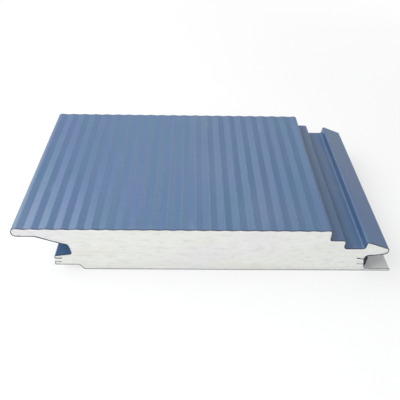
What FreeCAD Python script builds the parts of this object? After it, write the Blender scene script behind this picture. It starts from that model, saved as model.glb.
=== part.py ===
import FreeCAD, Part

import math
import os
import re
import Sketcher

# Insulated sandwich wall panel with hidden fixing: two roll-formed steel skins, a foam core
# between them and a sealing gasket. One side edge is a groove, the other a tongue, so that each
# panel plugs into the next one and covers its screws.
#
# Frame, in mm: X across the panel, Y along it, Z up from the inner face, which is at Z 0. The
# origin is in the middle of the covered width. The groove's joint line is at X = -cover_width / 2
# and the tongue's at X = cover_width / 2: there the edge of the next panel's flange lies.

DIMENSIONS = [
    # the panel as a whole
    ("cover_width", 280, "from joint line to joint line"),
    ("panel_length", 186, "along the profile"),
    ("panel_thickness", 50, "outer face to inner face"),
    ("outer_gauge", 0.6, "steel of the outer skin"),
    ("inner_gauge", 0.5, "steel of the inner skin"),
    # micro-ribs of the outer face
    ("rib_pitch", 12.5, "groove to groove"),
    ("rib_depth", 0.6, "depth of the shallow grooves"),
    ("rib_floor", 0.6, "flat width of a groove"),
    ("rib_flank", 5.6, "width of a groove's sloped side"),
    ("rib_start", 11.3, "joint line to the middle of the first groove"),
    ("rib_end_margin", 6, "least plain strip beside the shoulder"),
    # tongue edge, from its joint line
    ("reveal_gap", 9.5, "open joint that shows between two panels"),
    ("reveal_lean", 0.5, "lean of the open joint's wall"),
    ("reveal_depth", 11.8, "outer face down to the shelf"),
    ("pocket_start", 4.9, "joint line to the screw pocket"),
    ("pocket_width", 18, "floor of the screw pocket"),
    ("pocket_depth", 9.8, "shelf down to the pocket's floor"),
    ("pocket_draft", 0.6, "lean of the pocket's far wall"),
    ("tongue_rise", 8.2, "pocket's floor up to the tongue"),
    ("tongue_reach", 21.2, "tongue's shoulder to its nose"),
    ("tongue_slope", 21.4, "slope of the tongue's top, degrees"),
    ("nose_height", 6.4, "blunt end of the tongue"),
    ("underside_slope", 9.5, "slope of the tongue's underside, degrees"),
    ("recess_depth", 18.3, "nose back to the recess"),
    ("recess_lean", 1.2, "undercut of the recess's wall"),
    ("recess_foot", 2.5, "lip's root in front of the recess"),
    ("lip_thickness", 2.8, "hemmed lip at the inner face"),
    ("lip_reach", 52, "joint line to the lip's end"),
    # fit of the groove edge over the tongue edge
    ("shelf_clearance", 2.5, "flange over shelf"),
    ("slope_clearance", 2.2, "above the tongue"),
    ("nose_clearance", 2.0, "in front of the nose"),
    ("underside_clearance", 2.6, "under the tongue"),
    ("seal_gap", 4.9, "recess to the groove's lower jaw"),
    ("lip_clearance", 3.0, "over the lip"),
    ("lip_gap", 3.4, "in front of the lip"),
    ("back_lean", 1.4, "lean of the groove's back wall"),
    ("jaw_lean", 1.0, "lean of the lower jaw's face"),
    ("notch_lean", 3.6, "slope of the notch that clears the lip"),
    # ends of the skins, turned into the foam
    ("return_length", 6.2, "flange in the foam"),
    ("return_rise", 1.2, "tilt of the tongue's upper flange"),
    ("tongue_return_drop", 4.2, "recess's top down to the upper flange"),
    ("tongue_return_rise", 6.2, "lip up to the lower flange"),
    ("groove_return_drop", 3.4, "lower jaw's top down to the upper flange"),
    ("groove_return_rise", 3.9, "step up to the lower flange"),
    # rounded bends, measured on the skins' outside
    ("bend_radius", 1.0, "tight bends"),
    ("jaw_radius", 1.4, "bends of the groove"),
    ("shelf_radius", 3.2, "bend from the shelf into the pocket"),
    ("pocket_radius", 2.2, "bends of the pocket's floor"),
    ("shoulder_radius", 3.0, "shoulder of the open joint"),
    ("flange_radius", 4.2, "edge of the flange"),
    ("nose_top_radius", 2.3, "top of the tongue's nose"),
    ("nose_foot_radius", 3.4, "foot of the tongue's nose"),
    ("lip_radius", 1.3, "end of the lip"),
    # gasket in the recess
    ("gasket_thickness", 3.4, "stands off the recess's wall"),
    ("gasket_radius", 4.0, "rounded ends of the gasket"),
    ("gasket_overlap", 2.8, "gasket's lower end below the lower flange"),
]

doc = FreeCAD.newDocument("sandwich_panel")


def add_sheet():
    """The driving dimensions: name, number and meaning in one row each."""
    dims = doc.addObject("Spreadsheet::Sheet", "dims")
    for row, (alias, value, meaning) in enumerate(DIMENSIONS, start=1):
        dims.set(f"A{row}", alias)
        dims.set(f"B{row}", str(value))
        dims.set(f"C{row}", meaning)
        dims.setAlias(f"B{row}", alias)
    doc.recompute()
    return dims


sheet = add_sheet()

# ---- places on the two edges, as formulas of the sheet's names ----

GROOVE = "(-cover_width / 2)"
TONGUE = "(cover_width / 2)"

# tongue edge: X from its joint line, Z from the inner face
SHELF_Z = "(panel_thickness - reveal_depth)"
POCKET_Z = f"({SHELF_Z} - pocket_depth)"
POCKET_END_X = "(pocket_start + pocket_width)"
TONGUE_X = f"({POCKET_END_X} + pocket_draft)"
TONGUE_Z = f"({POCKET_Z} + tongue_rise)"
NOSE_X = f"({TONGUE_X} + tongue_reach)"
NOSE_TOP_Z = f"({TONGUE_Z} - tongue_reach * tan(tongue_slope))"
NOSE_FOOT_Z = f"({NOSE_TOP_Z} - nose_height)"
RECESS_X = f"({NOSE_X} - recess_depth)"
RECESS_Z = f"({NOSE_FOOT_Z} - recess_depth * tan(underside_slope))"
RECESS_WALL_X = f"({RECESS_X} - recess_lean)"
TONGUE_UPPER_Z = f"({RECESS_Z} - tongue_return_drop)"
TONGUE_LOWER_Z = "(lip_thickness + tongue_return_rise)"
LIP_ROOT_X = f"({RECESS_X} + recess_foot)"

# groove edge: the tongue edge of the next panel plus the clearances
FLANGE_Z = f"({SHELF_Z} + shelf_clearance)"
SLOPE_X = f"({TONGUE_X} - ({FLANGE_Z} - {TONGUE_Z} - slope_clearance) / tan(tongue_slope))"
BACK_X = f"({NOSE_X} + nose_clearance)"
BACK_TOP_X = f"({BACK_X} - back_lean)"
BACK_TOP_Z = f"({FLANGE_Z} - ({BACK_TOP_X} - {SLOPE_X}) * tan(tongue_slope))"
BACK_FOOT_Z = f"({NOSE_FOOT_Z} + nose_clearance * tan(underside_slope) - underside_clearance)"
JAW_X = f"({RECESS_X} + seal_gap)"
JAW_Z = f"({BACK_FOOT_Z} - ({BACK_X} - {JAW_X}) * tan(underside_slope))"
JAW_FOOT_X = f"({JAW_X} - jaw_lean)"
STEP_Z = "(lip_thickness + lip_clearance)"
NOTCH_X = "(lip_reach + lip_gap)"
GROOVE_UPPER_Z = f"({JAW_Z} - groove_return_drop)"
GROOVE_LOWER_Z = f"({STEP_Z} + groove_return_rise)"

# two rounds share the edge they end, so each takes a little less than half of it
ROUND_SHARE = 0.49
FLANGE_ROUND = f"min(flange_radius; {ROUND_SHARE} * (reveal_depth - shelf_clearance))"
LIP_ROUND = f"min(lip_radius; {ROUND_SHARE} * lip_thickness)"

# ---- outlines: corners as (x, z, radius), "0" for a sharp one ----

# outer skin: flange in the foam, lower jaw, groove, flange, outer face, reveal, shelf, pocket,
# tongue, recess, flange in the foam
OUTER_LINE = [
    (f"{GROOVE} + {JAW_X} + return_length", GROOVE_UPPER_Z, "0"),
    (f"{GROOVE} + {JAW_X}", GROOVE_UPPER_Z, "bend_radius"),
    (f"{GROOVE} + {JAW_X}", JAW_Z, "jaw_radius"),
    (f"{GROOVE} + {BACK_X}", BACK_FOOT_Z, "jaw_radius"),
    (f"{GROOVE} + {BACK_TOP_X}", BACK_TOP_Z, "jaw_radius"),
    (f"{GROOVE} + {SLOPE_X}", FLANGE_Z, "flange_radius"),
    (GROOVE, FLANGE_Z, FLANGE_ROUND),
    (GROOVE, "panel_thickness", FLANGE_ROUND),
    (f"{TONGUE} - reveal_gap", "panel_thickness", "shoulder_radius"),
    (f"{TONGUE} - reveal_gap + reveal_lean", SHELF_Z, "bend_radius"),
    (f"{TONGUE} + pocket_start", SHELF_Z, "shelf_radius"),
    (f"{TONGUE} + pocket_start", POCKET_Z, "pocket_radius"),
    (f"{TONGUE} + {POCKET_END_X}", POCKET_Z, "pocket_radius"),
    (f"{TONGUE} + {TONGUE_X}", TONGUE_Z, "jaw_radius"),
    (f"{TONGUE} + {NOSE_X}", NOSE_TOP_Z, "nose_top_radius"),
    (f"{TONGUE} + {NOSE_X}", NOSE_FOOT_Z, "nose_foot_radius"),
    (f"{TONGUE} + {RECESS_X}", RECESS_Z, "jaw_radius"),
    (f"{TONGUE} + {RECESS_WALL_X}", TONGUE_UPPER_Z, "bend_radius"),
    (f"{TONGUE} + {RECESS_WALL_X} - return_length", f"{TONGUE_UPPER_Z} + return_rise", "0"),
]

# inner skin: flange in the foam, lower jaw, step, notch, inner face, hemmed lip, recess, flange
INNER_LINE = [
    (f"{GROOVE} + {JAW_FOOT_X} + return_length", GROOVE_LOWER_Z, "0"),
    (f"{GROOVE} + {JAW_FOOT_X}", GROOVE_LOWER_Z, "bend_radius"),
    (f"{GROOVE} + {JAW_FOOT_X}", STEP_Z, "bend_radius"),
    (f"{GROOVE} + {NOTCH_X} - notch_lean", STEP_Z, "bend_radius"),
    (f"{GROOVE} + {NOTCH_X}", "0", "bend_radius"),
    (f"{TONGUE} + lip_reach", "0", LIP_ROUND),
    (f"{TONGUE} + lip_reach", "lip_thickness", LIP_ROUND),
    (f"{TONGUE} + {LIP_ROOT_X}", "lip_thickness", "bend_radius"),
    (f"{TONGUE} + {RECESS_X}", TONGUE_LOWER_Z, "bend_radius"),
    (f"{TONGUE} + {RECESS_X} - return_length", TONGUE_LOWER_Z, "0"),
]

# whole section: both skins' outsides, joined by the bare foam between the flanges
SECTION = OUTER_LINE[1:-1] + INNER_LINE[-2:0:-1]
BARE_CORNERS = (0, len(OUTER_LINE) - 3, len(OUTER_LINE) - 2, len(SECTION) - 1)
for corner in BARE_CORNERS:
    SECTION[corner] = SECTION[corner][:2] + ("0",)

# ---- sketches ----

SAME_SPOT = 1e-6


def bound(text):
    """A formula of plain names as an expression that reads them from the sheet."""
    return re.sub(r"\b(?!(?:tan|min|floor)\b)([a-z]\w*)", r"dims.\1", text)


def value_of(text):
    """What a formula comes to now."""
    return float(sheet.evalExpression(bound(text)))


def origin_plane(body, role):
    return next(feature for feature in body.Origin.OriginFeatures if feature.Role == role)


def new_sketch(name, body=None):
    """A sketch on the XZ plane: its x is X and its y is Z."""
    if body is None:
        sketch = doc.addObject("Sketcher::SketchObject", name)
        sketch.Placement.Rotation = FreeCAD.Rotation(FreeCAD.Vector(1, 0, 0), 90)
        return sketch
    sketch = body.newObject("Sketcher::SketchObject", name)
    sketch.AttachmentSupport = [(origin_plane(body, "XZ_Plane"), "")]
    sketch.MapMode = "FlatFace"
    return sketch


def rounded(points, radii, closed):
    """Where each straight between corners starts and ends once the corners are rounded, and the
    arc at each corner, or None."""
    trims = []
    arcs = []
    for here, corner in enumerate(points):
        ends_path = not closed and here in (0, len(points) - 1)
        if ends_path or radii[here] == 0:
            trims.append((corner, corner))
            arcs.append(None)
            continue
        back = (points[here - 1] - corner).normalize()
        ahead = (points[(here + 1) % len(points)] - corner).normalize()
        half = back.getAngle(ahead) / 2
        reach = radii[here] / math.tan(half)
        start = corner + back * reach
        end = corner + ahead * reach
        inward = (back + ahead).normalize()
        middle = corner + inward * (radii[here] / math.sin(half) - radii[here])
        trims.append((start, end))
        arcs.append(Part.Arc(start, middle, end))
    return trims, arcs


def draw_outline(sketch, corners, closed):
    """Draws straights through the corners with tangent arcs, each corner and radius held by a
    formula of the sheet."""
    points = [FreeCAD.Vector(value_of(x), value_of(z), 0) for x, z, _ in corners]
    radii = [value_of(radius) for _, _, radius in corners]
    trims, arcs = rounded(points, radii, closed)
    count = len(corners)
    marks = []
    for here, (x, z, _) in enumerate(corners):
        mark = sketch.addGeometry(Part.Point(points[here]), True)
        marks.append(mark)
        across = sketch.addConstraint(Sketcher.Constraint("DistanceX", mark, 1, points[here].x))
        up = sketch.addConstraint(Sketcher.Constraint("DistanceY", mark, 1, points[here].y))
        sketch.setExpression(f"Constraints[{across}]", bound(x))
        sketch.setExpression(f"Constraints[{up}]", bound(z))
    straights = []
    for here in range(count if closed else count - 1):
        following = (here + 1) % count
        line = Part.LineSegment(trims[here][1], trims[following][0])
        straight = sketch.addGeometry(line, False)
        straights.append(straight)
        for corner, end in ((here, 1), (following, 2)):
            if arcs[corner] is None:
                tie = Sketcher.Constraint("Coincident", straight, end, marks[corner], 1)
            else:
                tie = Sketcher.Constraint("PointOnObject", marks[corner], 1, straight)
            sketch.addConstraint(tie)
    for here, arc in enumerate(arcs):
        if arc is None:
            continue
        curve = sketch.addGeometry(arc, False)
        start = sketch.getPoint(curve, 1)
        before = straights[here - 1]
        after = straights[here]
        first, last = (1, 2) if start.isEqual(trims[here][0], SAME_SPOT) else (2, 1)
        sketch.addConstraint(Sketcher.Constraint("Tangent", before, 2, curve, first))
        sketch.addConstraint(Sketcher.Constraint("Tangent", after, 1, curve, last))
        size = sketch.addConstraint(Sketcher.Constraint("Radius", curve, radii[here]))
        sketch.setExpression(f"Constraints[{size}]", bound(corners[here][2]))


# ---- features ----


def span_panel(feature):
    """Makes a feature run over the whole length, as much to the front as to the back."""
    feature.SideType = "Symmetric"
    feature.Length = value_of("panel_length")
    feature.setExpression("Length", bound("panel_length"))


def formed_sheet(name, line, thickness):
    """A sheet bent along its outside line, as long as the panel. It thickens to the left of the
    line's direction, or to the right where the thickness is negative."""
    sketch = new_sketch(f"{name}_line")
    draw_outline(sketch, line, closed=False)
    section = doc.addObject("Part::Offset2D", f"{name}_section")
    section.Source = sketch
    section.Mode = "Skin"
    section.Join = "Arc"
    section.Fill = True
    section.setExpression("Value", bound(thickness))
    profile = doc.addObject("Part::Extrusion", f"{name}_profile")
    profile.Base = section
    profile.DirMode = "Custom"
    profile.Dir = FreeCAD.Vector(0, 1, 0)
    profile.Symmetric = True
    profile.Solid = True
    profile.setExpression("LengthFwd", bound("panel_length"))
    return profile


RIB_COUNT = "floor((cover_width - reveal_gap - rib_start - rib_end_margin) / rib_pitch) + 1"


def rib_outline(top, bottom):
    """The section of the first groove between two levels: narrow below, wide above."""
    middle = f"{GROOVE} + rib_start"
    return [
        (f"{middle} - rib_floor / 2", bottom, "0"),
        (f"{middle} + rib_floor / 2", bottom, "0"),
        (f"{middle} + rib_floor / 2 + rib_flank", top, "0"),
        (f"{middle} - rib_floor / 2 - rib_flank", top, "0"),
    ]


def cut_ribs(body, underside):
    """Sets the row of shallow grooves into the top of a body. Where the body is a sheet, its
    underside is pushed down as far."""
    name = body.Name
    features = []
    if underside:
        level = f"panel_thickness - {underside}"
        sketch = new_sketch(f"{name}_bulge_outline", body)
        draw_outline(sketch, rib_outline(level, f"{level} - rib_depth"), closed=True)
        bulge = body.newObject("PartDesign::Pad", f"{name}_bulge")
        bulge.Profile = sketch
        span_panel(bulge)
        features.append(bulge)
    sketch = new_sketch(f"{name}_groove_outline", body)
    outline = rib_outline("panel_thickness", "panel_thickness - rib_depth")
    draw_outline(sketch, outline, closed=True)
    groove = body.newObject("PartDesign::Pocket", f"{name}_groove")
    groove.Profile = sketch
    span_panel(groove)
    features.append(groove)
    row = body.newObject("PartDesign::LinearPattern", f"{name}_ribs")
    row.Originals = features
    row.Direction = (sketch, ["H_Axis"])
    row.Mode = "Spacing"
    row.setExpression("Offset", bound("rib_pitch"))
    row.setExpression("Occurrences", bound(RIB_COUNT))
    body.Tip = row


# ---- pieces ----


def outer_skin():
    """Prepainted steel, roll-formed with both joint edges, then ribbed."""
    profile = formed_sheet("outer", OUTER_LINE, "-outer_gauge")
    body = doc.addObject("PartDesign::Body", "outer_skin")
    body.BaseFeature = profile
    doc.recompute()
    cut_ribs(body, "outer_gauge")
    return body


def inner_skin():
    """Prepainted steel, flat inside, with a hemmed lip on the tongue edge."""
    profile = formed_sheet("inner", INNER_LINE, "inner_gauge")
    body = doc.addObject("PartDesign::Body", "inner_skin")
    body.BaseFeature = profile
    return body


def panel_block():
    """All that lies between the outsides of the two skins."""
    body = doc.addObject("PartDesign::Body", "block")
    sketch = new_sketch("block_section", body)
    draw_outline(sketch, SECTION, closed=True)
    block = body.newObject("PartDesign::Pad", "block_pad")
    block.Profile = sketch
    span_panel(block)
    cut_ribs(body, None)
    return body


def foam_core(block, skins):
    """Foam fills the block but for the skins and their flanges."""
    both = doc.addObject("Part::MultiFuse", "both_skins")
    both.Shapes = skins
    core = doc.addObject("Part::Cut", "foam_core")
    core.Base = block
    core.Tool = both
    return core


def joint_gasket(block):
    """A D-shaped strip that lies against the wall of the recess."""
    body = doc.addObject("PartDesign::Body", "gasket_strip")
    sketch = new_sketch("gasket_outline", body)
    wall = f"{TONGUE} + {RECESS_WALL_X}"
    top = RECESS_Z
    bottom = f"({TONGUE_LOWER_Z} - gasket_overlap)"
    round_end = f"min(gasket_radius; {ROUND_SHARE} * ({top} - {bottom}))"
    corners = [
        (f"{wall} - gasket_radius", bottom, "0"),
        (f"{wall} + gasket_thickness", bottom, round_end),
        (f"{wall} + gasket_thickness", top, round_end),
        (f"{wall} - gasket_radius", top, "0"),
    ]
    draw_outline(sketch, corners, closed=True)
    strip = body.newObject("PartDesign::Pad", "gasket_pad")
    strip.Profile = sketch
    span_panel(strip)
    gasket = doc.addObject("Part::Cut", "joint_gasket")
    gasket.Base = body
    gasket.Tool = block
    return gasket


skins = [outer_skin(), inner_skin()]
block = panel_block()
pieces = skins + [foam_core(block, skins), joint_gasket(block)]
for piece in pieces:
    piece.Label = piece.Name

doc.recompute()

for feature in doc.Objects:
    if "Invalid" in feature.State or "Error" in feature.State:
        raise RuntimeError(f"{feature.Name} failed: {feature.State}")

os.makedirs("parts", exist_ok=True)
for piece in pieces:
    shape = piece.Shape
    if shape.isNull() or not shape.isValid() or len(shape.Solids) != 1:
        raise RuntimeError(f"{piece.Label} is not one sound solid")
    print(piece.Label, round(shape.Volume), shape.BoundBox)
    shape.exportStep(f"parts/{piece.Label}.step")
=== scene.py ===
import math
import random

import bmesh
import bpy
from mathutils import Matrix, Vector, noise
from mathutils.geometry import delaunay_2d_cdt
from mathutils.kdtree import KDTree


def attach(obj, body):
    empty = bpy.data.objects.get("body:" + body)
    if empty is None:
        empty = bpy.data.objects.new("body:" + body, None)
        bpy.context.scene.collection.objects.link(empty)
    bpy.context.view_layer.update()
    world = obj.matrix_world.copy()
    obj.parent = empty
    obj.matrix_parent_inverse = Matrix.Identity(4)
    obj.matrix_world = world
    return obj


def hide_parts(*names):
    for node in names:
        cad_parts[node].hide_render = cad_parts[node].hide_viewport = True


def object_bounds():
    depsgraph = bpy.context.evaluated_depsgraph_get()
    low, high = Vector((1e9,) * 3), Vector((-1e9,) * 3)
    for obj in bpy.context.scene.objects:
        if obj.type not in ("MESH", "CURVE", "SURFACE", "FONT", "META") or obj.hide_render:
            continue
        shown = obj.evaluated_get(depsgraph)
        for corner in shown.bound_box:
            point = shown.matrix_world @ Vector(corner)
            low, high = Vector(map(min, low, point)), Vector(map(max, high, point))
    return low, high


# Looks of the sandwich panel: a blue coil-coated outer skin with shallow ribs, rigid foam sawn at
# both ends, an off-white inner skin and a soft dark gasket. Metres, in the frame of the packed
# model: X across the panel, Y along it, Z up from the inner face.

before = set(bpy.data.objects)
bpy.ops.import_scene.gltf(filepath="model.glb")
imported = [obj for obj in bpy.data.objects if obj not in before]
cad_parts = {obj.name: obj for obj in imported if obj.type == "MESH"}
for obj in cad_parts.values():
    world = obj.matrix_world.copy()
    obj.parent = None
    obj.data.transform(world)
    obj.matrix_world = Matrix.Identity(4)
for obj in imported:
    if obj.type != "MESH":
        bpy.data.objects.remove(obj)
cad_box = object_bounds()
MM = 0.001

# ---- sizes ----

LOW, HIGH = (Vector(corner) for corner in cad_box)
CENTRE = (LOW + HIGH) / 2
WIDTH = HIGH.x - LOW.x
LENGTH = HIGH.y - LOW.y
THICKNESS = HIGH.z - LOW.z
GROOVE = LOW.x
TONGUE = -GROOVE
LIP_REACH = HIGH.x - TONGUE

OUTER_GAUGE = 0.6 * MM
INNER_GAUGE = 0.5 * MM
BURR = 0.07 * MM

# tongue edge
REVEAL_GAP = 9.5 * MM
REVEAL_LEAN = 0.5 * MM
REVEAL_DEPTH = 11.8 * MM
POCKET_START = 4.9 * MM
POCKET_WIDTH = 18 * MM
POCKET_DEPTH = 9.8 * MM
POCKET_DRAFT = 0.6 * MM
TONGUE_RISE = 8.2 * MM
TONGUE_REACH = 21.2 * MM
TONGUE_FALL = math.tan(math.radians(21.4))
NOSE_HEIGHT = 6.4 * MM
UNDERSIDE_FALL = math.tan(math.radians(9.5))
RECESS_DEPTH = 18.3 * MM
RECESS_LEAN = 1.2 * MM
RECESS_FOOT = 2.5 * MM
LIP_THICKNESS = 2.8 * MM

# fit of the groove edge over the tongue edge
SHELF_CLEARANCE = 2.5 * MM
SLOPE_CLEARANCE = 2.2 * MM
NOSE_CLEARANCE = 2.0 * MM
UNDERSIDE_CLEARANCE = 2.6 * MM
SEAL_GAP = 4.9 * MM
LIP_CLEARANCE = 3.0 * MM
LIP_GAP = 3.4 * MM
BACK_LEAN = 1.4 * MM
JAW_LEAN = 1.0 * MM
NOTCH_LEAN = 3.6 * MM

# ends of the skins, turned into the foam
RETURN = 6.2 * MM
RETURN_RISE = 1.2 * MM
TONGUE_RETURN_DROP = 4.2 * MM
TONGUE_RETURN_RISE = 6.2 * MM
GROOVE_RETURN_DROP = 3.4 * MM
GROOVE_RETURN_RISE = 3.9 * MM

# rounded bends, on the outsides of the skins
TIGHT = 1.0 * MM
JAW_ROUND = 1.4 * MM
SHELF_ROUND = 3.2 * MM
POCKET_ROUND = 2.2 * MM
SHOULDER_ROUND = 3.0 * MM
FLANGE_ROUND = 4.2 * MM
NOSE_TOP_ROUND = 2.3 * MM
NOSE_FOOT_ROUND = 3.4 * MM
LIP_ROUND = 1.3 * MM

# shallow grooves of the outer face
RIB_PITCH = 12.5 * MM
RIB_DEPTH = 0.6 * MM
RIB_FLOOR = 0.6 * MM
RIB_FLANK = 5.6 * MM
RIB_START = 11.3 * MM
RIB_END_MARGIN = 6 * MM
RIB_BEND = 2.5 * MM
RIB_ROW = TONGUE - REVEAL_GAP - RIB_END_MARGIN - (GROOVE + RIB_START)
RIB_COUNT = math.floor(RIB_ROW / RIB_PITCH) + 1

# soft strip, a hair off the steel around it
GASKET_REACH = 3.2 * MM
GASKET_DROP = 0.4 * MM
GASKET_OVERLAP = 1.7 * MM
GASKET_ROUND = 1.8 * MM
GASKET_TOP_BEND = 0.5 * MM
GASKET_FOOT_BEND = 0.4 * MM
GASKET_OFF = 0.2 * MM
GASKET_TOP_OFF = 0.3 * MM
GASKET_FOOT_OFF = 0.9 * MM
GASKET_SETBACK = 0.3 * MM
GASKET_WOBBLE = 0.5 * MM
GASKET_WAVES = 9 * MM

# sawn ends of the foam, behind the cut edge of the steel
SAWN_STEP = 1.4 * MM
SAWN_JITTER = 0.3
SAWN_MARGIN = 0.45 * SAWN_STEP
SAWN_RECESS = 0.32 * MM
SAWN_LEAST = 0.05 * MM
RIDGE_RELIEF = 0.09 * MM
TORN_RELIEF = 0.1 * MM
RIM_RECESS = 0.1 * MM
CRUMBLE = 0.55 * MM
RIM_WIDTH = 1.6 * MM
# width of the painted highlight on the foam along the skins
RIM_HIGHLIGHT_WIDTH = 1.8 * MM
FOAM_CELL = 0.8 * MM

# patches of the sawn relief: how wide and how high they are
RIDGE_PATCH = (50 * MM, 2.1 * MM)
TORN_PATCH = (7 * MM, 5 * MM)
CRUMBLE_PATCH = (4 * MM, 3 * MM)

# nearer points are one, an outline has no shorter stretch, and an arc no wider step
SAME_SPOT = 0.01 * MM
SHORTEST = 0.02 * MM
ARC_STEP = math.radians(10)

# how a sawn end is meshed: triangles inside the outline only, with all points kept apart
INSIDE_ONLY = 1
APART = 1e-7

# ---- places on the two edges: X from the joint line, Z from the inner face ----

SHELF_Z = THICKNESS - REVEAL_DEPTH
POCKET_Z = SHELF_Z - POCKET_DEPTH
POCKET_END_X = POCKET_START + POCKET_WIDTH
TONGUE_X = POCKET_END_X + POCKET_DRAFT
TONGUE_Z = POCKET_Z + TONGUE_RISE
NOSE_X = TONGUE_X + TONGUE_REACH
NOSE_TOP_Z = TONGUE_Z - TONGUE_REACH * TONGUE_FALL
NOSE_FOOT_Z = NOSE_TOP_Z - NOSE_HEIGHT
RECESS_X = NOSE_X - RECESS_DEPTH
RECESS_Z = NOSE_FOOT_Z - RECESS_DEPTH * UNDERSIDE_FALL
RECESS_WALL_X = RECESS_X - RECESS_LEAN
LIP_ROOT_X = RECESS_X + RECESS_FOOT
TONGUE_UPPER_Z = RECESS_Z - TONGUE_RETURN_DROP
TONGUE_LOWER_Z = LIP_THICKNESS + TONGUE_RETURN_RISE

FLANGE_Z = SHELF_Z + SHELF_CLEARANCE
SLOPE_X = TONGUE_X - (FLANGE_Z - TONGUE_Z - SLOPE_CLEARANCE) / TONGUE_FALL
BACK_X = NOSE_X + NOSE_CLEARANCE
BACK_TOP_X = BACK_X - BACK_LEAN
BACK_TOP_Z = FLANGE_Z - (BACK_TOP_X - SLOPE_X) * TONGUE_FALL
BACK_FOOT_Z = NOSE_FOOT_Z + NOSE_CLEARANCE * UNDERSIDE_FALL - UNDERSIDE_CLEARANCE
JAW_X = RECESS_X + SEAL_GAP
JAW_Z = BACK_FOOT_Z - (BACK_X - JAW_X) * UNDERSIDE_FALL
JAW_FOOT_X = JAW_X - JAW_LEAN
STEP_Z = LIP_THICKNESS + LIP_CLEARANCE
NOTCH_X = LIP_REACH + LIP_GAP
GROOVE_UPPER_Z = JAW_Z - GROOVE_RETURN_DROP
GROOVE_LOWER_Z = STEP_Z + GROOVE_RETURN_RISE

GASKET_X = RECESS_WALL_X + GASKET_REACH
GASKET_TOP_Z = RECESS_Z - GASKET_DROP
GASKET_FOOT_Z = TONGUE_LOWER_Z - GASKET_OVERLAP

# Corners of the skins' outsides as (x, z, bend radius), from the groove edge to the tongue edge.
# The outer skin's line is open where the shallow grooves go.
OUTER_GROOVE_SIDE = [
    (GROOVE + JAW_X + RETURN, GROOVE_UPPER_Z, 0),
    (GROOVE + JAW_X, GROOVE_UPPER_Z, TIGHT),
    (GROOVE + JAW_X, JAW_Z, JAW_ROUND),
    (GROOVE + BACK_X, BACK_FOOT_Z, JAW_ROUND),
    (GROOVE + BACK_TOP_X, BACK_TOP_Z, JAW_ROUND),
    (GROOVE + SLOPE_X, FLANGE_Z, FLANGE_ROUND),
    (GROOVE, FLANGE_Z, FLANGE_ROUND),
    (GROOVE, THICKNESS, FLANGE_ROUND),
]
OUTER_TONGUE_SIDE = [
    (TONGUE - REVEAL_GAP, THICKNESS, SHOULDER_ROUND),
    (TONGUE - REVEAL_GAP + REVEAL_LEAN, SHELF_Z, TIGHT),
    (TONGUE + POCKET_START, SHELF_Z, SHELF_ROUND),
    (TONGUE + POCKET_START, POCKET_Z, POCKET_ROUND),
    (TONGUE + POCKET_END_X, POCKET_Z, POCKET_ROUND),
    (TONGUE + TONGUE_X, TONGUE_Z, JAW_ROUND),
    (TONGUE + NOSE_X, NOSE_TOP_Z, NOSE_TOP_ROUND),
    (TONGUE + NOSE_X, NOSE_FOOT_Z, NOSE_FOOT_ROUND),
    (TONGUE + RECESS_X, RECESS_Z, JAW_ROUND),
    (TONGUE + RECESS_WALL_X, TONGUE_UPPER_Z, TIGHT),
    (TONGUE + RECESS_WALL_X - RETURN, TONGUE_UPPER_Z + RETURN_RISE, 0),
]
INNER_LINE = [
    (GROOVE + JAW_FOOT_X + RETURN, GROOVE_LOWER_Z, 0),
    (GROOVE + JAW_FOOT_X, GROOVE_LOWER_Z, TIGHT),
    (GROOVE + JAW_FOOT_X, STEP_Z, TIGHT),
    (GROOVE + NOTCH_X - NOTCH_LEAN, STEP_Z, TIGHT),
    (GROOVE + NOTCH_X, 0, TIGHT),
    (TONGUE + LIP_REACH, 0, LIP_ROUND),
    (TONGUE + LIP_REACH, LIP_THICKNESS, LIP_ROUND),
    (TONGUE + LIP_ROOT_X, LIP_THICKNESS, TIGHT),
    (TONGUE + RECESS_X, TONGUE_LOWER_Z, TIGHT),
    (TONGUE + RECESS_X - RETURN, TONGUE_LOWER_Z, 0),
]
GASKET_LINE = [
    (TONGUE + RECESS_WALL_X + GASKET_OFF, TONGUE_UPPER_Z, 0),
    (TONGUE + RECESS_X + GASKET_TOP_OFF, GASKET_TOP_Z, GASKET_TOP_BEND),
    (TONGUE + GASKET_X, GASKET_TOP_Z, GASKET_ROUND),
    (TONGUE + GASKET_X, GASKET_FOOT_Z, GASKET_ROUND),
    (TONGUE + RECESS_X + GASKET_FOOT_OFF, GASKET_FOOT_Z, GASKET_FOOT_BEND),
    (TONGUE + RECESS_X + GASKET_OFF, TONGUE_LOWER_Z, 0),
]

# ---- finishes: sRGB colours as a painter's fan shows them ----

COAT_BLUE_TEAL = (58, 98, 131)
COAT_BLUE_VIOLET = (65, 95, 137)
COAT_BLUE_DEEP = (52, 84, 122)
COAT_BLUE_HAZY = (98, 113, 139)
COAT_RUBBED = (150, 164, 184)
CUT_STEEL = (46, 54, 68)
# painted shade along the cut ends of the coated skins
CUT_EDGE_SHADE = (40, 55, 82)
CUT_STEEL_BRIGHT = (104, 112, 124)
FOAM_PALE = (228, 229, 225)
FOAM_CREAM = (220, 220, 209)
FOAM_COOL = (224, 222, 227)
# greyer foam: real scuffs, and painted shade in the open cells
FOAM_SCUFF_AND_PORE_SHADE = (206, 207, 202)
# painted highlight on the foam's rim along the skins
FOAM_RIM_HIGHLIGHT = (238, 239, 236)
COAT_OFF_WHITE = (220, 221, 218)
OFF_WHITE_SMUDGED = (203, 203, 198)
GASKET_DARK = (34, 35, 40)
GASKET_DUSTY = (62, 62, 70)
FLOOR_WHITE = (236, 236, 236)

# A pattern's stretch in X, Y and Z: the lower a value, the longer the pattern runs that way.
ROLL_MARKS = (1, 0.012, 1)
SCRATCHES = (1, 0.018, 1)
TENSION_WAVES = (1, 0.4, 1)
SMEARS = (1, 0.5, 1)
SAW_LINES = (0.13, 1, 1.5)

# ---- floor, light and camera ----

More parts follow.
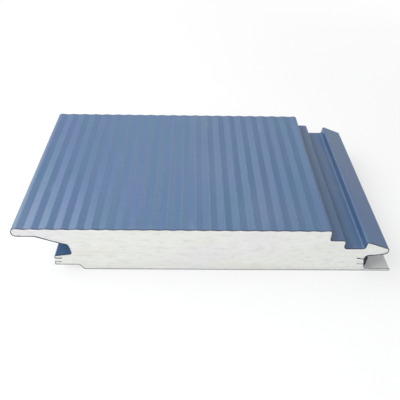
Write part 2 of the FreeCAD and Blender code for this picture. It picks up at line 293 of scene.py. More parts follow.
FLOOR_REACH = 3.0
FLOOR_GAP = 0.2 * MM
FLOOR_GLOW = 0.62
GLOW_RISES = 0.3
GLOW_FULL = 0.8
TOUCHING = 1 * MM
FILL_TINT = (0.93, 0.96, 1.0, 1.0)
FILL_ABOVE = 0.31
FILL_BELOW = 0.76
HORIZON = -0.02

# azimuth and elevation in degrees, distance and sides in metres, power in watts
LAMPS = {
    "window_left": (-82, 40, 1.3, (1.95, 1.15), 25),
    "key_front": (170, 32, 1.6, (0.9, 0.7), 9.8),
    "back_strip": (1, 43, 1.6, (0.4, 0.5), 1.2),
    "top_soft": (-60, 76, 1.3, (0.8, 0.8), 1.3),
}

# lens and sensor in millimetres, turn in degrees, and place as shares of the panel's width
CAMERA_LENS = 41.55
CAMERA_SENSOR = 36
CAMERA_ANGLES = (49.15, -1.11, -0.55)
CAMERA_LEFT = 0.046242
CAMERA_AHEAD = 0.828615
CAMERA_ABOVE = 0.967341


def linear(rgb):
    """An 8-bit sRGB colour as the linear RGBA that Blender's sockets take."""
    channels = []
    for level in rgb:
        share = level / 255
        channels.append(share / 12.92 if share <= 0.04045 else ((share + 0.055) / 1.055) ** 2.4)
    return (*channels, 1.0)


# ---- node helpers ----


class Graph:
    """Short calls for building a node tree."""

    def __init__(self, tree):
        self.tree = tree

    def add(self, kind, **settings):
        node = self.tree.nodes.new(kind)
        for name, value in settings.items():
            setattr(node, name, value)
        return node

    def join(self, source, target):
        self.tree.links.new(source, target)

    def feed(self, socket, value):
        """Sets a socket to a number or colour, or links another node's output to it."""
        if isinstance(value, bpy.types.NodeSocket):
            self.join(value, socket)
        else:
            socket.default_value = value

    def math(self, operation, first, second=0.0):
        node = self.add("ShaderNodeMath", operation=operation)
        self.feed(node.inputs[0], first)
        self.feed(node.inputs[1], second)
        return node.outputs["Value"]

    def spread(self, value, low, high, to_low=0.0, to_high=1.0):
        """Maps one range onto another, clamped."""
        node = self.add("ShaderNodeMapRange")
        self.feed(node.inputs["Value"], value)
        node.inputs["From Min"].default_value = low
        node.inputs["From Max"].default_value = high
        node.inputs["To Min"].default_value = to_low
        node.inputs["To Max"].default_value = to_high
        return node.outputs["Result"]

    def split(self, socket):
        node = self.add("ShaderNodeSeparateXYZ")
        self.join(socket, node.inputs["Vector"])
        return node.outputs

    def mix(self, share, first, second):
        """Mixes two shaders."""
        node = self.add("ShaderNodeMixShader")
        self.join(share, node.inputs["Fac"])
        self.join(first, node.inputs[1])
        self.join(second, node.inputs[2])
        return node.outputs["Shader"]


class Finish(Graph):
    """One material."""

    def __init__(self, name):
        self.material = bpy.data.materials.new(name)
        self.material.use_nodes = True
        super().__init__(self.material.node_tree)
        self.tree.nodes.clear()
        self.output = self.add("ShaderNodeOutputMaterial")

    def place(self, stretch=(1, 1, 1)):
        """The point on the piece, in its own axes, stretched for a directional pattern."""
        point = self.add("ShaderNodeTexCoord").outputs["Object"]
        if stretch == (1, 1, 1):
            return point
        mapping = self.add("ShaderNodeMapping")
        self.join(point, mapping.inputs["Vector"])
        mapping.inputs["Scale"].default_value = stretch
        return mapping.outputs["Vector"]

    def noise(self, size, stretch=(1, 1, 1), detail=2, roughness=0.5):
        """Soft noise whose patches are about `size` metres wide."""
        node = self.add("ShaderNodeTexNoise")
        self.join(self.place(stretch), node.inputs["Vector"])
        node.inputs["Scale"].default_value = 1 / size
        node.inputs["Detail"].default_value = detail
        node.inputs["Roughness"].default_value = roughness
        return node.outputs["Fac"]

    def blend(self, share, first, second):
        """Mixes two colours."""
        node = self.add("ShaderNodeMix", data_type="RGBA")
        self.feed(node.inputs["Factor"], share)
        self.feed(node.inputs["A"], first)
        self.feed(node.inputs["B"], second)
        return node.outputs["Result"]

    def bump(self, height, depth, after=None):
        """A relief of `depth` metres, laid over an earlier one."""
        node = self.add("ShaderNodeBump")
        node.inputs["Distance"].default_value = depth
        self.join(height, node.inputs["Height"])
        if after is not None:
            self.join(after, node.inputs["Normal"])
        return node.outputs["Normal"]

    def end_mask(self):
        """1 on the two sawn ends of the panel, 0 on its long faces."""
        normal = self.split(self.add("ShaderNodeTexCoord").outputs["Normal"])
        return self.spread(self.math("ABSOLUTE", normal["Y"]), 0.7, 0.8)

    def beyond_ends(self, width):
        """Rises from 0 to 1 over the last `width` metres of the panel at either end."""
        along = self.math("ABSOLUTE", self.split(self.place())["Y"])
        return self.spread(along, LENGTH / 2 - width, LENGTH / 2)

    def crests(self, width):
        """1 on the ridges between the shallow grooves of the outer face."""
        first = GROOVE + RIB_START + RIB_PITCH / 2
        spot = self.split(self.place())
        across = self.math("SUBTRACT", spot["X"], first)
        nearest = self.math("ABSOLUTE", self.math("PINGPONG", across, RIB_PITCH / 2))
        ridge = self.spread(nearest, 0, width, 1, 0)
        high = self.spread(spot["Z"], THICKNESS - 2 * RIB_DEPTH, THICKNESS - RIB_DEPTH)
        return self.math("MULTIPLY", ridge, high)

    def scratches(self, share):
        """Sparse thin lines along the panel, over a small share of it."""
        line = self.noise(1.1 * MM, SCRATCHES, detail=1)
        here = self.noise(16 * MM, (1, 0.6, 1), detail=2)
        off_line = self.math("ABSOLUTE", self.math("SUBTRACT", line, 0.5))
        thin = self.spread(off_line, 0, share, 1, 0)
        return self.math("MULTIPLY", thin, self.spread(here, 0.6, 0.68))

    def cut_steel(self):
        """Colour of the sheet's sawn edge: dark, with a few bright drags of the saw."""
        streak = self.noise(1.6 * MM, (1, 1, 0.15), detail=2)
        return self.blend(self.spread(streak, 0.55, 0.75), linear(CUT_STEEL), linear(CUT_STEEL_BRIGHT))

    def surface(self, color, roughness, normal=None, metallic=0.0, specular=0.5):
        shader = self.add("ShaderNodeBsdfPrincipled")
        self.feed(shader.inputs["Base Color"], color)
        self.feed(shader.inputs["Roughness"], roughness)
        self.feed(shader.inputs["Metallic"], metallic)
        shader.inputs["Specular IOR Level"].default_value = specular
        if normal is not None:
            self.join(normal, shader.inputs["Normal"])
        self.join(shader.outputs["BSDF"], self.output.inputs["Surface"])
        return self.material


class Former(Graph):
    """One geometry node tree whose inputs have names."""

    def __init__(self, name, inputs):
        super().__init__(bpy.data.node_groups.new(name, "GeometryNodeTree"))
        face = self.tree.interface
        face.new_socket("Geometry", in_out="OUTPUT", socket_type="NodeSocketGeometry")
        face.new_socket("Geometry", in_out="INPUT", socket_type="NodeSocketGeometry")
        self.keys = {}
        for label, kind in inputs.items():
            socket = face.new_socket(label, in_out="INPUT", socket_type=f"NodeSocket{kind}")
            self.keys[label] = socket.identifier
        self.given = self.add("NodeGroupInput").outputs
        self.output = self.add("NodeGroupOutput")

    def point(self, x, y, z):
        node = self.add("ShaderNodeCombineXYZ")
        for axis, value in zip("XYZ", (x, y, z)):
            self.feed(node.inputs[axis], value)
        return node.outputs["Vector"]

    def finish(self, geometry):
        """Ends the tree with real geometry in its material."""
        real = self.add("GeometryNodeRealizeInstances")
        self.join(geometry, real.inputs["Geometry"])
        coated = self.add("GeometryNodeSetMaterial")
        self.join(real.outputs["Geometry"], coated.inputs["Geometry"])
        self.join(self.given["Material"], coated.inputs["Material"])
        self.join(coated.outputs["Geometry"], self.output.inputs["Geometry"])

    def shape(self, piece, values):
        """Adds the tree to a piece with its inputs set."""
        modifier = piece.modifiers.new(self.tree.name, "NODES")
        modifier.node_group = self.tree
        for label, value in values.items():
            modifier[self.keys[label]] = value


# ---- materials ----


def blue_coat():
    """Polyester coil coating on steel: satin, with the tension waves of rolled sheet, faint roll
    marks along the panel, a slow drift of hue, patches of dusty haze and a few fine scratches.
    The crests between the grooves are a little polished, and a strip of painted shade darkens
    the coating along both cut ends, where the bare edge of the sheet shows."""
    coat = Finish("blue_coil_coating")
    haze = coat.spread(coat.noise(85 * MM, SMEARS, detail=4), 0.44, 0.7)
    marks = coat.noise(3.5 * MM, ROLL_MARKS, detail=3)
    drift = coat.noise(21 * MM, (1, 0.22, 1), detail=2)
    dust = coat.noise(2.2 * MM, detail=4, roughness=0.7)
    hue = coat.spread(drift, 0.35, 0.65)
    color = coat.blend(hue, linear(COAT_BLUE_TEAL), linear(COAT_BLUE_VIOLET))
    tint = coat.math("MULTIPLY", haze, coat.spread(dust, 0.3, 0.7, 0.4, 0.85))
    tint = coat.math("MAXIMUM", tint, coat.spread(dust, 0.36, 0.64, 0, 0.22))
    color = coat.blend(tint, color, linear(COAT_BLUE_HAZY))
    color = coat.blend(coat.spread(marks, 0.35, 0.75, 0, 0.2), color, linear(COAT_BLUE_DEEP))
    scratches = coat.scratches(0.022)
    crests = coat.math("MULTIPLY", coat.crests(0.5 * MM), coat.spread(dust, 0.42, 0.62))
    worn = coat.math("MULTIPLY", crests, 0.22)
    rubbed = coat.math("MAXIMUM", coat.math("MULTIPLY", scratches, 0.35), worn)
    color = coat.blend(rubbed, color, linear(COAT_RUBBED))
    # painted shade: the coating is darkened over the last 1.3 mm at both cut ends, as a dark line at
    # the sheet's cut edge
    ragged = coat.spread(coat.noise(1.7 * MM), 0.3, 0.7, 0.75, 1.7)
    edge_shade = coat.math("MULTIPLY", coat.beyond_ends(1.3 * MM), ragged)
    color = coat.blend(coat.spread(edge_shade, 0.25, 0.6, 0, 0.9), color, linear(CUT_EDGE_SHADE))
    color = coat.blend(coat.end_mask(), color, coat.cut_steel())
    relief = coat.bump(coat.noise(85 * MM, TENSION_WAVES, detail=1), 3.4 * MM)
    relief = coat.bump(marks, 0.02 * MM, relief)
    relief = coat.bump(coat.noise(0.9 * MM, detail=1), 0.018 * MM, relief)
    relief = coat.bump(scratches, 0.02 * MM, relief)
    satin = coat.spread(haze, 0, 1, 0.29, 0.38)
    gloss = coat.math("ADD", satin, coat.spread(dust, 0.4, 0.8, 0, 0.06))
    gloss = coat.math("SUBTRACT", gloss, coat.math("MULTIPLY", rubbed, 0.3))
    return coat.surface(color, gloss, relief)


def off_white_coat():
    """Thin interior coating, satin, with faint smudges, roll marks and fine scratches. Its sawn
    edge is grey steel."""
    coat = Finish("off_white_coil_coating")
    smudges = coat.noise(30 * MM, SMEARS, detail=4, roughness=0.6)
    marks = coat.noise(4 * MM, ROLL_MARKS, detail=3)
    dust = coat.noise(2 * MM, detail=4, roughness=0.7)
    smudged = linear(OFF_WHITE_SMUDGED)
    color = coat.blend(coat.spread(smudges, 0.48, 0.75, 0, 0.7), linear(COAT_OFF_WHITE), smudged)
    color = coat.blend(coat.spread(marks, 0.4, 0.8, 0, 0.35), color, smudged)
    color = coat.blend(coat.spread(dust, 0.58, 0.75, 0, 0.3), color, smudged)
    scratches = coat.scratches(0.02)
    color = coat.blend(coat.math("MULTIPLY", scratches, 0.4), color, linear(CUT_STEEL_BRIGHT))
    # painted shade: a grey strip over the last 0.8 mm at both cut ends, as a dark line at the sheet's
    # cut edge
    edge_shade = coat.math("MULTIPLY", coat.beyond_ends(0.8 * MM), coat.spread(dust, 0.3, 0.7, 0.5, 1.5))
    color = coat.blend(coat.spread(edge_shade, 0.3, 0.7, 0, 0.8), color, linear(CUT_STEEL_BRIGHT))
    color = coat.blend(coat.end_mask(), color, coat.cut_steel())
    relief = coat.bump(coat.noise(90 * MM, TENSION_WAVES, detail=1), 2 * MM)
    relief = coat.bump(coat.noise(0.9 * MM, detail=1), 0.015 * MM, relief)
    gloss = coat.spread(smudges, 0.4, 0.75, 0.34, 0.46)
    return coat.surface(color, gloss, relief)


def sawn_foam():
    """Closed-cell foam cut with a saw: level saw lines, tiny open cells with painted shade in their
    hollows, cloudy density, and a paler rim along the skins that is a painted highlight."""
    foam = Finish("sawn_foam")
    lines = foam.noise(9 * MM, SAW_LINES, detail=4, roughness=0.6)
    scuff = foam.noise(3.2 * MM, (0.3, 1, 1), detail=3, roughness=0.65)
    cloud = foam.noise(34 * MM, detail=3)
    cool = foam.noise(50 * MM, (0.6, 1, 1), detail=2)
    clouded = foam.spread(cloud, 0.4, 0.7, 0, 0.3)
    cream = foam.math("ADD", foam.spread(lines, 0.46, 0.72, 0, 0.75), clouded)
    color = foam.blend(cream, linear(FOAM_PALE), linear(FOAM_CREAM))
    color = foam.blend(foam.spread(cool, 0.5, 0.72, 0, 0.8), color, linear(FOAM_COOL))
    color = foam.blend(foam.spread(scuff, 0.5, 0.72, 0, 0.7), color, linear(FOAM_SCUFF_AND_PORE_SHADE))
    # painted highlight: the foam is paler near the skins, fading out over 1.8 mm
    rim_highlight = foam.add("ShaderNodeAttribute", attribute_name="skin_rim_highlight").outputs["Fac"]
    color = foam.blend(foam.math("MULTIPLY", rim_highlight, 0.8), color, linear(FOAM_RIM_HIGHLIGHT))
    # painted shade: each open cell is darker towards its middle, where its hollow is
    cells = foam.add("ShaderNodeTexVoronoi")
    foam.join(foam.place(), cells.inputs["Vector"])
    cells.inputs["Scale"].default_value = 1 / FOAM_CELL
    pores = foam.spread(cells.outputs["Distance"], 0.0, 0.35)
    color = foam.blend(foam.spread(pores, 0, 1, 0.5, 0), color, linear(FOAM_SCUFF_AND_PORE_SHADE))
    relief = foam.bump(lines, 0.6 * MM)
    relief = foam.bump(scuff, 0.5 * MM, relief)
    relief = foam.bump(pores, 0.15 * MM, relief)
    return foam.surface(color, 0.9, relief, specular=0.2)


def soft_gasket():
    """Foamed rubber strip, nearly black, with a fine skin."""
    nodes = Finish("soft_gasket")
    cells = nodes.noise(0.8 * MM, detail=2)
    color = nodes.blend(nodes.spread(cells, 0.4, 0.8), linear(GASKET_DARK), linear(GASKET_DUSTY))
    relief = nodes.bump(cells, 0.15 * MM)
    return nodes.surface(color, 0.8, relief, specular=0.3)


# ---- forming the skins ----


def roll_former():
    """Bends a line of corners into rounded ones, sets a row of shallow grooves into its face and
    draws the line out to the panel's length. The line is drawn in plan, with its depth below the
    inner face as the second coordinate."""
    form = Former("roll_former", {
        "Panel Length": "Float",
        "Face Level": "Float",
        "First Groove": "Float",
        "Groove Count": "Int",
        "Groove Pitch": "Float",
        "Groove Depth": "Float",
        "Groove Floor": "Float",
        "Groove Flank": "Float",
        "Groove Bend": "Float",
        "Bend Steps": "Int",
        "Steps Along": "Int",
        "Closed Ends": "Bool",
        "Soft Wobble": "Float",
        "Material": "Material",
    })
    given = form.given

    # each groove has four corners: rim, floor, floor, rim
    row = form.add("GeometryNodeMeshLine", mode="OFFSET")
    form.join(form.math("MULTIPLY", given["Groove Count"], 4), row.inputs["Count"])
    index = form.add("GeometryNodeInputIndex").outputs["Index"]
    groove = form.math("FLOOR", form.math("DIVIDE", index, 4))
    corner = form.math("MODULO", index, 4)
    right = form.math("GREATER_THAN", corner, 1.5)
    side = form.math("SUBTRACT", form.math("MULTIPLY", right, 2), 1)
    rim = form.math("GREATER_THAN", form.math("ABSOLUTE", form.math("SUBTRACT", corner, 1.5)), 1)
    half = form.math("DIVIDE", given["Groove Floor"], 2)
    reach = form.math("ADD", half, form.math("MULTIPLY", rim, given["Groove Flank"]))
    travelled = form.math("MULTIPLY", groove, given["Groove Pitch"])
    middle = form.math("ADD", given["First Groove"], travelled)
    across = form.math("ADD", middle, form.math("MULTIPLY", side, reach))
    sunk = form.math("MULTIPLY", form.math("SUBTRACT", 1, rim), given["Groove Depth"])
    down = form.math("SUBTRACT", sunk, given["Face Level"])
    placed = form.add("GeometryNodeSetPosition")
    form.join(row.outputs["Mesh"], placed.inputs["Geometry"])
    form.join(form.point(across, down, 0), placed.inputs["Position"])
    bends = form.add("GeometryNodeStoreNamedAttribute", data_type="FLOAT", domain="POINT")
    form.join(placed.outputs["Geometry"], bends.inputs["Geometry"])
    bends.inputs["Name"].default_value = "bend_radius"
    form.join(given["Groove Bend"], bends.inputs["Value"])

    whole = form.add("GeometryNodeJoinGeometry")
    form.join(bends.outputs["Geometry"], whole.inputs["Geometry"])
    form.join(given["Geometry"], whole.inputs["Geometry"])
    welded = form.add("GeometryNodeMergeByDistance")
    form.join(whole.outputs["Geometry"], welded.inputs["Geometry"])
    welded.inputs["Distance"].default_value = SAME_SPOT
    line = form.add("GeometryNodeMeshToCurve")
    form.join(welded.outputs["Geometry"], line.inputs["Mesh"])
    radius = form.add("GeometryNodeInputNamedAttribute", data_type="FLOAT")
    radius.inputs["Name"].default_value = "bend_radius"
    bent = form.add("GeometryNodeFilletCurve", mode="POLY")
    form.join(line.outputs["Curve"], bent.inputs["Curve"])
    form.join(radius.outputs["Attribute"], bent.inputs["Radius"])
    form.join(given["Bend Steps"], bent.inputs["Count"])
    bent.inputs["Limit Radius"].default_value = True

    half_length = form.math("DIVIDE", given["Panel Length"], 2)
    travel = form.add("GeometryNodeCurvePrimitiveLine")
    form.join(form.point(0, form.math("MULTIPLY", half_length, -1), 0), travel.inputs["Start"])
    form.join(form.point(0, half_length, 0), travel.inputs["End"])
    stepped = form.add("GeometryNodeResampleCurve")
    form.join(travel.outputs["Curve"], stepped.inputs["Curve"])
    form.join(given["Steps Along"], stepped.inputs["Count"])
    drawn = form.add("GeometryNodeCurveToMesh")
    form.join(stepped.outputs["Curve"], drawn.inputs["Curve"])
    form.join(bent.outputs["Curve"], drawn.inputs["Profile Curve"])
    form.join(given["Closed Ends"], drawn.inputs["Fill Caps"])

    waves = form.add("ShaderNodeTexNoise")
    waves.inputs["Scale"].default_value = 1 / GASKET_WAVES
    centred = form.add("ShaderNodeVectorMath", operation="SUBTRACT")
    form.join(waves.outputs["Color"], centred.inputs[0])
    centred.inputs[1].default_value = (0.5, 0.5, 0.5)
    wobble = form.add("ShaderNodeVectorMath", operation="MULTIPLY")
    form.join(centred.outputs["Vector"], wobble.inputs[0])
    form.join(form.point(given["Soft Wobble"], 0, given["Soft Wobble"]), wobble.inputs[1])
    softened = form.add("GeometryNodeSetPosition")
    form.join(drawn.outputs["Mesh"], softened.inputs["Geometry"])
    form.join(wobble.outputs["Vector"], softened.inputs["Offset"])
    form.finish(softened.outputs["Geometry"])
    return form


def plain_piece(name, mesh):
    """An object at the origin that holds a mesh."""
    piece = bpy.data.objects.new(name, mesh)
    bpy.context.collection.objects.link(piece)
    return piece


def corner_line(name, runs, closed=False):
    """A piece that is only a line of corners, each with its bend radius."""
    points = []
    edges = []
    radii = []
    for run in runs:
        first = len(points)
        points += [(x, -z, 0) for x, z, _ in run]
        radii += [radius for _, _, radius in run]
        edges += [(here, here + 1) for here in range(first, len(points) - 1)]
        if closed:
            edges.append((len(points) - 1, first))
    mesh = bpy.data.meshes.new(name)
    mesh.from_pydata(points, edges, [])
    bends = mesh.attributes.new("bend_radius", "FLOAT", "POINT")
    bends.data.foreach_set("value", radii)
    return plain_piece(name, mesh)


def settle(piece, crease=30):
    """Makes what the modifiers give the piece's own mesh, smooth between its creases."""
    depsgraph = bpy.context.evaluated_depsgraph_get()
    mesh = bpy.data.meshes.new_from_object(piece.evaluated_get(depsgraph), depsgraph=depsgraph)
    piece.modifiers.clear()
    piece.data = mesh
    mesh.name = piece.name
    mesh.polygons.foreach_set("use_smooth", [True] * len(mesh.polygons))
    mesh.set_sharp_from_angle(angle=math.radians(crease))
    return piece


def thicken(piece, gauge):
    """Gives a formed sheet its gauge, inwards, and takes the razor edge off its cut ends."""
    wall = piece.modifiers.new("gauge", "SOLIDIFY")
    wall.thickness = gauge
    wall.offset = -1
    wall.use_even_offset = True
    burr = piece.modifiers.new("burr", "BEVEL")
    burr.width = BURR
    burr.segments = 2
    burr.limit_method = "ANGLE"
    burr.angle_limit = math.radians(60)
    flats = piece.modifiers.new("flats", "WEIGHTED_NORMAL")
    flats.keep_sharp = True


def rib_corners(level):
    """The row of shallow grooves at a level, from left to right, as corners."""
    corners = []
    for count in range(RIB_COUNT):
        middle = GROOVE + RIB_START + count * RIB_PITCH
        rim = RIB_FLOOR / 2 + RIB_FLANK
        for across, down in ((-rim, 0), (-RIB_FLOOR / 2, 1), (RIB_FLOOR / 2, 1), (rim, 0)):
            corners.append((middle + across, level - down * RIB_DEPTH, 0))
    return corners


def make_outer_skin(former, material):
    ribs = rib_corners(THICKNESS)
    piece = corner_line("outer_sheet", [OUTER_GROOVE_SIDE + ribs[:1], ribs[-1:] + OUTER_TONGUE_SIDE])
    former.shape(piece, {
        "Panel Length": LENGTH,
        "Face Level": THICKNESS,
        "First Groove": GROOVE + RIB_START,
        "Groove Count": RIB_COUNT,
        "Groove Pitch": RIB_PITCH,
        "Groove Depth": RIB_DEPTH,
        "Groove Floor": RIB_FLOOR,
        "Groove Flank": RIB_FLANK,
        "Groove Bend": RIB_BEND,
        "Bend Steps": 9,
        "Steps Along": 2,
        "Material": material,
    })
    thicken(piece, OUTER_GAUGE)
    settle(piece)
    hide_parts("outer_skin")
    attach(piece, "root")


def make_inner_skin(former, material):
    piece = corner_line("inner_sheet", [INNER_LINE[::-1]])
    former.shape(piece, {
        "Panel Length": LENGTH,
        "Face Level": 0.0,
        "First Groove": 0.0,
        "Groove Count": 0,
        "Bend Steps": 9,
        "Steps Along": 2,
        "Material": material,
    })
    thicken(piece, INNER_GAUGE)
    settle(piece)
    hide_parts("inner_skin")
    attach(piece, "root")


def make_gasket(former, material):
    piece = corner_line("gasket_strip", [GASKET_LINE], closed=True)
    former.shape(piece, {
        "Panel Length": LENGTH - 2 * GASKET_SETBACK,
        "Face Level": 0.0,
        "First Groove": 0.0,
        "Groove Count": 0,
        "Bend Steps": 6,
        "Steps Along": 60,
        "Closed Ends": True,
        "Soft Wobble": GASKET_WOBBLE,
        "Material": material,
    })
    settle(piece, crease=45)
    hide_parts("joint_gasket")
    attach(piece, "root")


# ---- foam ----


def inset(corners, depth):
    """The same line moved to its right by a depth, its bends opened or closed to suit."""
    points = [Vector((x, z)) for x, z, _ in corners]
    moved = []
    for here, point in enumerate(points):
        before = (point - points[max(here - 1, 0)]).normalized()
        after = (points[min(here + 1, len(points) - 1)] - point).normalized()
        first = before if before.length else after
        second = after if after.length else before
        right = Vector((first.y, -first.x))
        other = Vector((second.y, -second.x))
        spot = point + (right + other) / (1 + right.dot(other)) * depth
        radius = corners[here][2]
        if radius:
            turns_left = first.x * second.y - first.y * second.x > 0
            radius = max(radius + (depth if turns_left else -depth), 0)
        moved.append((spot.x, spot.y, radius))
    return moved


def arc_points(corner, back, ahead, radius):
    """The rounded form of one corner between the points before and after it."""
    to_back = (back - corner).normalized()
    to_ahead = (ahead - corner).normalized()
    half = to_back.angle(to_ahead) / 2
    centre = corner + (to_back + to_ahead).normalized() * (radius / math.sin(half))
    start = corner + to_back * (radius / math.tan(half)) - centre
    end = corner + to_ahead * (radius / math.tan(half)) - centre
    sweep = math.atan2(start.x * end.y - start.y * end.x, start.dot(end))
    steps = max(2, math.ceil(abs(sweep) / ARC_STEP))
    turned = []
    for step in range(steps + 1):
        angle = math.atan2(start.y, start.x) + sweep * step / steps
        turned.append(centre + Vector((math.cos(angle), math.sin(angle))) * radius)
    return turned


def closed_outline(corners, step):
    """A closed line through the corners, rounded, with no stretch much longer than a step."""
    points = [Vector((x, z)) for x, z, _ in corners]
    bent = []
    for here, point in enumerate(points):
        radius = corners[here][2]
        following = points[(here + 1) % len(points)]
        bent += arc_points(point, points[here - 1], following, radius) if radius else [point]
    line = []
    for here, point in enumerate(bent):
        following = bent[(here + 1) % len(bent)]
        stretch = (following - point).length
        if stretch < SHORTEST:
            continue
        parts = max(1, round(stretch / step))
        line += [point.lerp(following, part / parts) for part in range(parts)]
    return line


def foam_corners():
    """Foam fills the section between the skins and lies bare between their flanges."""
    outer = OUTER_GROOVE_SIDE + rib_corners(THICKNESS) + OUTER_TONGUE_SIDE
    bare = [(x, z, 0) for x, z, _ in outer[:2] + outer[-2:] + INNER_LINE[:2] + INNER_LINE[-2:]]
    under_outer = inset(outer, OUTER_GAUGE)
    over_inner = inset(INNER_LINE, -INNER_GAUGE)
    tongue_bare = [bare[3], bare[2], bare[6], bare[7]]
    groove_bare = [bare[4], bare[5], bare[1], bare[0]]
    return under_outer + tongue_bare + over_inner[::-1] + groove_bare


def patches(spot, size, layer):
    """Noise over a sawn end, from about -1 to 1. Each layer has its own pattern."""
    width, height = size
    return noise.noise(Vector((spot.x / width, spot.y / height, layer)))


def sawn_depth(spot, edge_gap, layer):
    """How far the sawn foam lies behind the steel's cut end: level saw ridges, torn cells, and
    crumbled edges."""
    ridges = patches(spot, RIDGE_PATCH, layer)
    torn = patches(spot, TORN_PATCH, layer + 4)
    crumble = patches(spot, CRUMBLE_PATCH, layer + 9)
    rim = max(0.0, 1 - edge_gap / RIM_WIDTH) * (RIM_RECESS + CRUMBLE * max(crumble, 0))
    depth = SAWN_RECESS + RIDGE_RELIEF * ridges + TORN_RELIEF * torn + rim
    return max(depth, SAWN_LEAST)


def sawn_spots(line, edge):
    """Points over a sawn end with their distances from its edge: the outline's own, then rows of
    jittered ones inside it."""
    shake = random.Random(8)
    spots = list(line)
    gaps = [0.0] * len(line)
    for row in range(round(THICKNESS / SAWN_STEP)):
        for column in range(round(WIDTH / SAWN_STEP)):
            across = shake.uniform(-SAWN_JITTER, SAWN_JITTER)
            up = shake.uniform(-SAWN_JITTER, SAWN_JITTER)
            grid = Vector((column + row % 2 / 2, row)) + Vector((across, up))
            spot = Vector((LOW.x, LOW.z)) + grid * SAWN_STEP
            gap = edge.find(spot.to_3d())[2]
            if gap > SAWN_MARGIN:
                spots.append(spot)
                gaps.append(gap)
    return spots, gaps


def foam_mesh(line, edge):
    """A block between two sawn ends. Each point knows how close it is to the skins."""
    count = len(line)
    spots, gaps = sawn_spots(line, edge)
    outline = [list(range(count))]
    flat, _, faces, sources, _, _ = delaunay_2d_cdt(spots, [], outline, INSIDE_ONLY, APART)
    form = bmesh.new()
    rims = []
    for layer, plane, inward in ((0, LOW.y, 1), (20, HIGH.y, -1)):
        points = {}
        for face in faces:
            for corner in face:
                if corner not in points:
                    spot = flat[corner]
                    depth = sawn_depth(spot, gaps[sources[corner][0]], layer)
                    points[corner] = form.verts.new((spot.x, plane + inward * depth, spot.y))
            form.faces.new([points[corner] for corner in face[::inward]])
        rims.append({sources[corner][0]: vert for corner, vert in points.items()})
    front, back = rims
    for here in range(count):
        after = (here + 1) % count
        form.faces.new((front[here], front[after], back[after], back[here]))
    bmesh.ops.recalc_face_normals(form, faces=form.faces)
    mesh = bpy.data.meshes.new("foam_block")
    form.to_mesh(mesh)
    form.free()
    # how near each point is to the skins, for the painted highlight along them
    rim_highlight = mesh.attributes.new("skin_rim_highlight", "FLOAT", "POINT")
    for value, vert in zip(rim_highlight.data, mesh.vertices):
        gap = edge.find(Vector((vert.co.x, vert.co.z, 0)))[2]
        value.value = max(0.0, 1 - gap / RIM_HIGHLIGHT_WIDTH)
    return mesh


def make_foam(material):
    line = closed_outline(foam_corners(), SAWN_STEP)
    edge = KDTree(len(line))
    for here, point in enumerate(line):
        edge.insert(point.to_3d(), here)
    edge.balance()
    piece = plain_piece("foam_block", foam_mesh(line, edge))
    piece.data.materials.append(material)
    settle(piece, crease=50)
    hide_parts("foam_core")
    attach(piece, "root")


# ---- surroundings ----


def seen_directly(nodes):
    """1 for rays that show a background: from the camera, or through gloss or glass."""
    path = nodes.add("ShaderNodeLightPath")
    share = nodes.math("MAXIMUM", path.outputs["Is Camera Ray"], path.outputs["Is Glossy Ray"])
    return nodes.math("MAXIMUM", share, path.outputs["Is Transmission Ray"])


def floor_finish():
    """Pale floor that reads as white but keeps the panel's shadow. From below it is clear, so
    that the inner face shows, and it is clear to rays that start right above it, so that the
    inner face has light."""
    nodes = Finish("pale_floor")
    plain = nodes.add("ShaderNodeBsdfDiffuse")
    plain.inputs["Color"].default_value = linear(FLOOR_WHITE)
    bright = nodes.add("ShaderNodeEmission")
    bright.inputs["Strength"].default_value = 1.0
    away = nodes.add("ShaderNodeVectorMath", operation="LENGTH")
    nodes.join(nodes.place(), away.inputs[0])
    glow = nodes.spread(away.outputs["Value"], GLOW_RISES, GLOW_FULL, FLOOR_GLOW, 1.0)
    white = nodes.math("MULTIPLY", seen_directly(nodes), glow)
    above = nodes.mix(white, plain.outputs["BSDF"], bright.outputs["Emission"])
    travelled = nodes.add("ShaderNodeLightPath").outputs["Ray Length"]
    backfacing = nodes.add("ShaderNodeNewGeometry").outputs["Backfacing"]
    clear = nodes.math("MAXIMUM", nodes.math("LESS_THAN", travelled, TOUCHING), backfacing)
    through = nodes.add("ShaderNodeBsdfTransparent").outputs["BSDF"]
    nodes.join(nodes.mix(clear, above, through), nodes.output.inputs["Surface"])
    return nodes.material


def add_floor():
    """A level square right under the panel."""
    mesh = bpy.data.meshes.new("floor")
    sides = ((-1, -1), (1, -1), (1, 1), (-1, 1))
    corners = [(x * FLOOR_REACH, y * FLOOR_REACH, LOW.z - FLOOR_GAP) for x, y in sides]
    mesh.from_pydata(corners, [], [(0, 1, 2, 3)])
    mesh.materials.append(floor_finish())
    floor = plain_piece("floor", mesh)


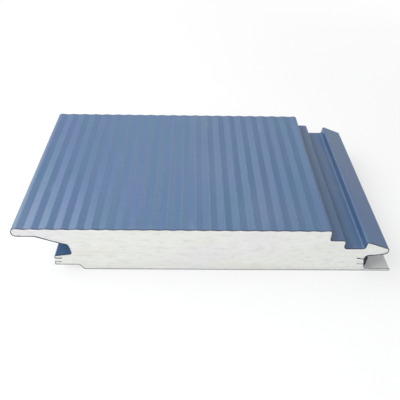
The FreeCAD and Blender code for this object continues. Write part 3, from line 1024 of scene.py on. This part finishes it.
def add_world():
    """White where it is seen, and a dimmer, slightly cool fill as light. Below the floor's level
    the fill is brighter, for the panel's inner face."""
    world = bpy.data.worlds.new("studio")
    bpy.context.scene.world = world
    world.use_nodes = True
    nodes = Graph(world.node_tree)
    nodes.tree.nodes.clear()
    height = nodes.split(nodes.add("ShaderNodeTexCoord").outputs["Generated"])["Z"]
    fill_level = nodes.spread(height, 2 * HORIZON, HORIZON, FILL_BELOW, FILL_ABOVE)
    backdrop = nodes.add("ShaderNodeBackground")
    backdrop.inputs["Color"].default_value = (1, 1, 1, 1)
    backdrop.inputs["Strength"].default_value = 1.0
    fill = nodes.add("ShaderNodeBackground")
    fill.inputs["Color"].default_value = FILL_TINT
    nodes.join(fill_level, fill.inputs["Strength"])
    around = nodes.mix(
        seen_directly(nodes), fill.outputs["Background"], backdrop.outputs["Background"])
    nodes.join(around, nodes.add("ShaderNodeOutputWorld").inputs["Surface"])


def add_lamp(name, azimuth, elevation, distance, size, power):
    """A soft rectangular lamp that faces the panel. Azimuth 0 is behind the panel, seen from
    its front, and turns to the right."""
    light = bpy.data.lights.new(name, "AREA")
    light.shape = "RECTANGLE"
    light.size, light.size_y = size
    light.energy = power
    lamp = bpy.data.objects.new(name, light)
    turn = math.radians(azimuth)
    rise = math.radians(elevation)
    away = Vector((math.sin(turn) * math.cos(rise), math.cos(turn) * math.cos(rise), math.sin(rise)))
    lamp.location = CENTRE + away * distance
    lamp.rotation_euler = away.to_track_quat("Z", "Y").to_euler()
    bpy.context.collection.objects.link(lamp)


def add_camera():
    """Looks down on the panel's front end from straight ahead, close enough for a strong
    perspective."""
    camera_data = bpy.data.cameras.new("camera")
    camera_data.sensor_width = CAMERA_SENSOR
    camera_data.lens = CAMERA_LENS
    camera = bpy.data.objects.new("camera", camera_data)
    away = Vector((-CAMERA_LEFT, -CAMERA_AHEAD, CAMERA_ABOVE)) * WIDTH
    camera.location = Vector((CENTRE.x, LOW.y, LOW.z)) + away
    camera.rotation_euler = [math.radians(angle) for angle in CAMERA_ANGLES]
    bpy.context.collection.objects.link(camera)
    bpy.context.scene.camera = camera


# ---- the panel and its surroundings ----

former = roll_former()
make_outer_skin(former, blue_coat())
make_inner_skin(former, off_white_coat())
make_foam(sawn_foam())
make_gasket(former, soft_gasket())

add_floor()
add_world()
for name, settings in LAMPS.items():
    add_lamp(name, *settings)
add_camera()

bpy.context.scene.view_settings.view_transform = "Standard"
